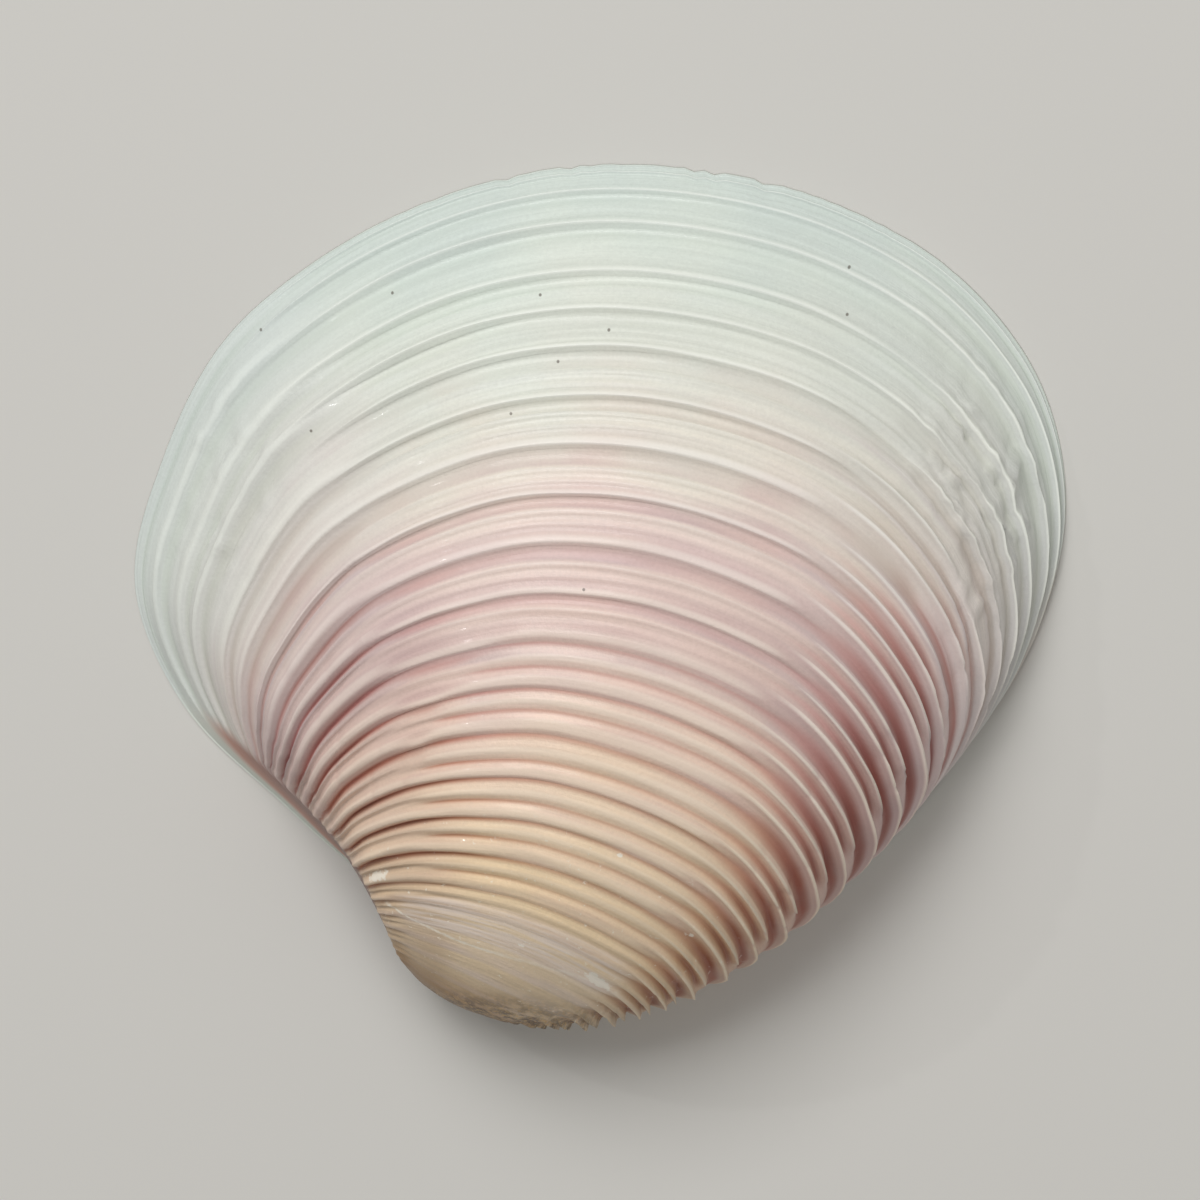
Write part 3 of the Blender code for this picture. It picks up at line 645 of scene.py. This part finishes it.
def shellMaterial():
    # satin, chalky shell with a thin gloss that glints on the crests; plain porcelain in the hollow
    made = bpy.data.materials.new("aragonite shell, grown")
    made.use_nodes = True
    tree = made.node_tree
    tree.nodes.clear()
    add = partial(addNode, tree)
    stage, place, outside, ridge, uneven = [add("Attribute", attribute_name=name).outputs["Fac"]
                                            for name in ("stage", "place", "outside", "ridge", "uneven")]
    sheet = add("SeparateXYZ", {0: add("UVMap", uv_map="growthMap")}).outputs
    pair = add("Math", (sheet["Y"], ridges["pairs"]), "MULTIPLY")
    phase = add("Math", {0: pair}, "FRACT")
    spotMm = add("VectorMath", {0: add("TexCoord").outputs["Object"], "Scale": 1 / mm}, "SCALE")
    noises = {name: add("TexNoise", {"Vector": spotMm, "Scale": scale, "Detail": detail, "Roughness": rough})
              for name, (scale, detail, rough) in layers["noises"].items()}
    byPlace = {name: add("FloatCurve", {"Value": place}, points=points)
               for name, points in layers["byPlace"].items()}
    byStage = {name: add("FloatCurve", {"Value": stage}, points=points)
               for name, points in layers["byStage"].items()}
    byPair = {name: add("ValToRGB", {0: phase}, stops=stops) for name, stops in layers["byPair"].items()}

    # the zones follow the growth lines, further out at the hind end, and their edges waver
    driftBy = add("MapRange", (noises["drift"], 0.3, 0.7, -layers["drift"], layers["drift"]))
    zoneFar = add("Math", (stage, byPlace["reach"]), "SUBTRACT")
    youngToo = add("MapRange", (stage, *layers["reachStages"]))
    zone = add("Math", (add("Mix", {0: youngToo, 2: stage, 3: zoneFar}), driftBy), "ADD")
    bands = {name: add("ValToRGB", {0: zone}, stops=paint[name])
             for name in ("ridgeBand", "troughBand", "groove", "crest")}

    # young ridges: rose on each strong one, peach on each weak one; older ones: grey lilac between them
    bandStrength = add("MapRange", (uneven, *ridges["unevenness"], *layers["bandStrength"]))
    bandHere = add("Math", (byPair["onRidge"], bandStrength), "MULTIPLY", use_clamp=True)
    banded = add("Mix", {0: bandHere, 6: bands["troughBand"], 7: bands["ridgeBand"]}, data_type="RGBA")
    lilacZone = add("FloatCurve", {"Value": zone}, points=layers["lilacZone"])
    lilacBand = add("Math", (byPair["between"], lilacZone), "MULTIPLY")
    lilacHere = add("Math", (lilacBand, bandStrength), "MULTIPLY", use_clamp=True)
    banded = add("Mix", {0: lilacHere, 6: banded, 7: linear(paint["lilac"])}, data_type="RGBA")

    # fine growth lines, very long along the rim
    striaeSpot = add("CombineXYZ", [add("Math", (along, scale), "MULTIPLY")
                                    for along, scale in zip((place, pair), layers["striae"])])
    striae = add("TexNoise", {"Vector": striaeSpot, "Scale": 1.0, "Detail": 3.0, "Roughness": 0.6})
    shades = [add("MapRange", (noise, 0.35, 0.65, *layers[name]))
              for noise, name in ((striae, "striaeShade"), (noises["grain"], "grainShade"))]
    texture = add("Math", shades, "MULTIPLY")
    striped = add("Mix", {0: 1.0, 6: banded, 7: texture}, data_type="RGBA", blend_type="MULTIPLY",
                  clamp_result=False)

    # mauve blush over the hind end; red-brown in the grooves, strongest at both ends and darkened further as
    # painted shade, with only grey-green painted shade in the grooves of the white last years; cream on the
    # crests, partly a painted highlight
    blush = add("ValToRGB", {0: stage}, stops=paint["hindTint"])
    # where the ridge is low the grooves take their brown and their painted shade
    low = add("MapRange", (ridge, 0.0, layers["low"], 1.0, 0.0), interpolation_type="SMOOTHSTEP")
    grooveTintAndShadeShare = add("Math", (low, byPlace["groove"]), "MULTIPLY")
    grooveBrownByStage = add("ValToRGB", {0: stage}, stops=layers["grooveBrownStages"])
    grooveBrownShadeShare = add("Math", (byPlace["clay"], grooveBrownByStage), "MULTIPLY")
    grooveTintAndShade = add("Mix", {0: grooveBrownShadeShare, 6: bands["groove"], 7: linear(paint["clay"])}, data_type="RGBA")
    # cream on the crests where the ridge is high, partly a painted highlight
    high = add("MapRange", (ridge, *layers["high"]), interpolation_type="SMOOTHSTEP")
    crestPaleAndHighlight = add("Math", (high, byPlace["crest"]), "MULTIPLY")

    # smooth lunule, mauve under the beak, with a salmon streak and a white edge, and the orange hind edge
    pastLunule = add("Math", (place, byStage["lunuleEdge"]), "SUBTRACT")
    inLunule = add("MapRange", (pastLunule, *layers["lunuleFray"], 0.95, 0.0),
                   interpolation_type="SMOOTHSTEP")
    underBeak = add("MapRange", (place, *layers["underBeak"], 0.0, 0.95))
    onLunule = add("Math", (inLunule, underBeak), "MAXIMUM")
    frayedStage = add("Math", (driftBy, 0.4, stage), "MULTIPLY_ADD")
    lunule = add("ValToRGB", {0: frayedStage}, stops=paint["lunule"])
    hindPlace = add("ValToRGB", {0: place}, stops=layers["hindPlaces"])
    hindStage = add("ValToRGB", {0: stage}, stops=layers["hindStages"])
    onHindEdge = add("Math", (hindPlace, hindStage), "MULTIPLY")

    # worn, pitted beak, and a chalky film this side of the scar
    mottled = add("MapRange", (noises["mottle"], 0.4, 0.56, 0.0, 0.85))
    wornFar = add("Math", (stage, byPlace["worn"]), "SUBTRACT")
    wornShare = add("MapRange", (wornFar, -layers["wornFade"], 0.0, 1.0, 0.0))
    wornHere = add("Math", (mottled, wornShare), "MULTIPLY")
    flecks = add("MapRange", (noises["grain"], 0.53, 0.6, 0.0, 0.7))
    flecksHere = add("Math", (flecks, wornShare), "MULTIPLY")
    filmStreaks = add("MapRange", (striae, 0.4, 0.6))
    filmWhere = add("Math", (byStage["film"], byPlace["film"]), "MULTIPLY")
    film = add("Math", (filmWhere, filmStreaks), "MULTIPLY")

    # a few dark specks, pale chips and one pale scar along a growth line
    flatSpot = add("VectorMath", (spotMm, (1.0, 1.0, 0.0)), "MULTIPLY")
    nearest = 100.0
    for x, y in marks["specks"]:
        away = add("VectorMath", (flatSpot, (x, y, 0.0)), "DISTANCE")
        nearest = add("Math", (away.outputs["Value"], nearest), "MINIMUM")
    specks = add("MapRange", (nearest, marks["speckSize"] * 0.6, marks["speckSize"], 0.75, 0.0))
    ragged = noises["ragged"]
    crumbs = add("MapRange", (ragged, 0.64, 0.675, 0.0, 0.65))
    pale = add("Math", (crumbs, byStage["crumbs"]), "MULTIPLY")
    fray, frayStart, frayEnd = marks["chipFray"]
    for markPlace, markStage, length, width in marks["chips"]:
        along = add("Math", (place, markPlace), "SUBTRACT")
        alongShare = add("Math", (along, wear["rimLength"] * markStage / length), "MULTIPLY")
        across = add("Math", (stage, markStage), "SUBTRACT")
        acrossShare = add("Math", (across, wear["growthLength"] / width), "MULTIPLY")
        away = add("VectorMath", {0: add("CombineXYZ", (alongShare, acrossShare))}, "LENGTH")
        frayed = add("Math", (ragged, fray, away.outputs["Value"]), "MULTIPLY_ADD")
        here = add("MapRange", (frayed, frayStart, frayEnd, 0.85, 0.0))
        pale = add("Math", (here, pale), "MAXIMUM")
    scarOff = add("Math", (stage, byPlace["scarCourse"]), "SUBTRACT")
    scarWaver = add("Math", (noises["drift"], 0.012, scarOff), "MULTIPLY_ADD")
    scarFar = add("Math", {0: add("Math", (scarWaver, 0.006), "SUBTRACT")}, "ABSOLUTE")
    scarFrayed = add("Math", (ragged, 0.008, scarFar), "MULTIPLY_ADD")
    scarNear = add("MapRange", (scarFrayed, *marks["scarWidth"], 0.75, 0.0))
    scarBroken = add("Math", (scarNear, byPlace["scarShare"]), "MULTIPLY")
    pale = add("Math", (scarBroken, pale), "MAXIMUM")

    # the layers of the outside, one over the other
    outer = striped
    for share, tint in ((byPlace["blush"], blush), (grooveTintAndShadeShare, grooveTintAndShade), (crestPaleAndHighlight, bands["crest"]),
                        (onLunule, lunule), (onHindEdge, linear(paint["hindEdge"])),
                        (wornHere, linear(paint["wornBrown"])), (flecksHere, linear(paint["wornFleck"])),
                        (film, linear(paint["film"])), (specks, linear(paint["speck"])),
                        (pale, linear(paint["chip"]))):
        outer = add("Mix", {0: share, 6: outer, 7: tint}, data_type="RGBA")

    # inside: the prints of the two closing muscles, joined by the pallial line
    fromLine = add("Math", (sheet["Y"], marks["pallialShare"]), "SUBTRACT")
    onLine = add("MapRange", (add("Math", {0: fromLine}, "ABSOLUTE"), 0.0, marks["pallialWidth"], 0.6, 0.0))
    prints = add("Math", (onLine, byPlace["pallialPlaces"]), "MULTIPLY")
    for centre, radii in marks["muscles"]:
        off = add("VectorMath", (spotMm, (*centre, 0.0)), "SUBTRACT")
        scaled = add("VectorMath", (off, (1 / radii[0], 1 / radii[1], 0.0)), "MULTIPLY")
        away = add("VectorMath", {0: scaled}, "LENGTH")
        onMuscle = add("MapRange", (away.outputs["Value"], 0.8, 1.0, 0.8, 0.0))
        prints = add("Math", (prints, onMuscle), "MAXIMUM")
    inner = add("Mix", {0: prints, 6: linear(paint["porcelain"]), 7: linear(paint["scar"])},
                data_type="RGBA")
    colour = add("Mix", {0: outside, 6: inner, 7: outer}, data_type="RGBA")

    # fine growth lines and pits as bumps
    pits = add("Math", (noises["mottle"], wornShare), "MULTIPLY")
    rough = add("Math", (noises["grain"], 0.5, striae), "MULTIPLY_ADD")
    pitDepth = add("Math", (pits, 1.8, rough), "MULTIPLY_ADD")
    outerBumps = add("Math", (pitDepth, outside), "MULTIPLY")
    bumps = add("Bump", {"Height": outerBumps, "Strength": 0.35, "Distance": layers["bumpDepth"] * mm})
    shader = add("BsdfPrincipled", {**layers["finish"], "Base Color": colour, "Normal": bumps})
    add("OutputMaterial", {"Surface": shader})
    return made


def growValve():
    tree, sockets = valveTree()
    outline = rimCurve()
    host = bpy.data.objects.new("growing", bpy.data.meshes.new("growing"))
    bpy.context.scene.collection.objects.link(host)
    rule = host.modifiers.new("grown valve", "NODES")
    rule.node_group = tree
    rule[sockets["Rim"]] = outline
    rule[sockets["Material"]] = shellMaterial()
    bpy.context.view_layer.update()
    grown = host.evaluated_get(bpy.context.evaluated_depsgraph_get())
    mesh = bpy.data.meshes.new_from_object(grown)
    valve = bpy.data.objects.new("valve_grown", mesh)
    bpy.context.scene.collection.objects.link(valve)
    bpy.data.objects.remove(host)
    bpy.data.objects.remove(outline)
    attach(valve, "root")
    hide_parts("valve")
    print("valve grown,", len(mesh.polygons), "faces")


studio = {
    "floorSize": 0.9,  # m
    "floorColour": "#d9d7d2",
    "floorRoughness": 0.9,
    # power in W, size and place in m
    "lights": {"key": (3.45, 0.40, (-0.14, 0.45, 0.56)), "fill": (0.22, 0.40, (0.36, -0.18, 0.40)),
               "glint": (0.14, 0.012, (-0.37, 0.30, 0.36))},
    "worldColour": "#e6e5e2",
    "worldStrength": 0.36,
}

camera = {
    "frameWidth": 1200,  # px of the photograph
    "distance": 447.4,  # mm, from the eye to the middle of the picture
    "lens": 285.0,  # mm
    "sensor": 36.0,  # mm
    "eye": (0.081, 0.179, 0.981),  # direction from the valve to the eye
    "aim": (0.10, 1.60, 0.0),  # mm, the point of the table plane that the axis of the picture passes
    "aimPixel": (600, 560),  # where the photograph shows that point
}


def makeStudio():
    bpy.ops.mesh.primitive_plane_add(size=studio["floorSize"])
    floor = bpy.context.active_object
    floor.name = "floor"
    paper = bpy.data.materials.new("matt paper, pale")  # no gloss, so only the soft shadow shows on it
    paper.use_nodes = True
    shader = paper.node_tree.nodes["Principled BSDF"]
    shader.inputs["Base Color"].default_value = linear(studio["floorColour"])
    shader.inputs["Roughness"].default_value = studio["floorRoughness"]
    floor.data.materials.append(paper)
    for name, (power, size, spot) in studio["lights"].items():
        data = bpy.data.lights.new(name, "AREA")
        data.energy = power
        data.size = size
        light = bpy.data.objects.new(name, data)
        light.location = spot
        light.rotation_euler = (-Vector(spot)).to_track_quat("-Z", "Y").to_euler()
        bpy.context.scene.collection.objects.link(light)
    world = bpy.data.worlds.new("studio")
    world.use_nodes = True
    background = world.node_tree.nodes["Background"]
    background.inputs["Color"].default_value = linear(studio["worldColour"])
    background.inputs["Strength"].default_value = studio["worldStrength"]
    bpy.context.scene.world = world
    bpy.context.scene.view_settings.view_transform = "Standard"


def makeCamera():
    back = Vector(camera["eye"]).normalized()
    up = (Vector((0.0, 1.0, 0.0)) - back * back.y).normalized()
    right = up.cross(back)
    # mm of the aim plane per px
    pixel = camera["distance"] * camera["sensor"] / camera["lens"] / camera["frameWidth"]
    half = camera["frameWidth"] / 2
    offset = right * (half - camera["aimPixel"][0]) - up * (half - camera["aimPixel"][1])
    centre = Vector(camera["aim"]) + offset * pixel
    place = Vector(camera["aim"]) + back * camera["distance"]
    data = bpy.data.cameras.new("camera")
    data.lens = camera["lens"]
    data.sensor_width = camera["sensor"]
    data.clip_start = 0.01
    eye = bpy.data.objects.new("camera", data)
    eye.location = place * mm
    sight = (place - centre).normalized()
    across = up.cross(sight).normalized()
    eye.rotation_mode = "QUATERNION"
    eye.rotation_quaternion = Matrix((across, sight.cross(across), sight)).transposed().to_quaternion()
    bpy.context.scene.collection.objects.link(eye)
    bpy.context.scene.camera = eye


growValve()
makeStudio()
makeCamera()
print("studio and camera ready")
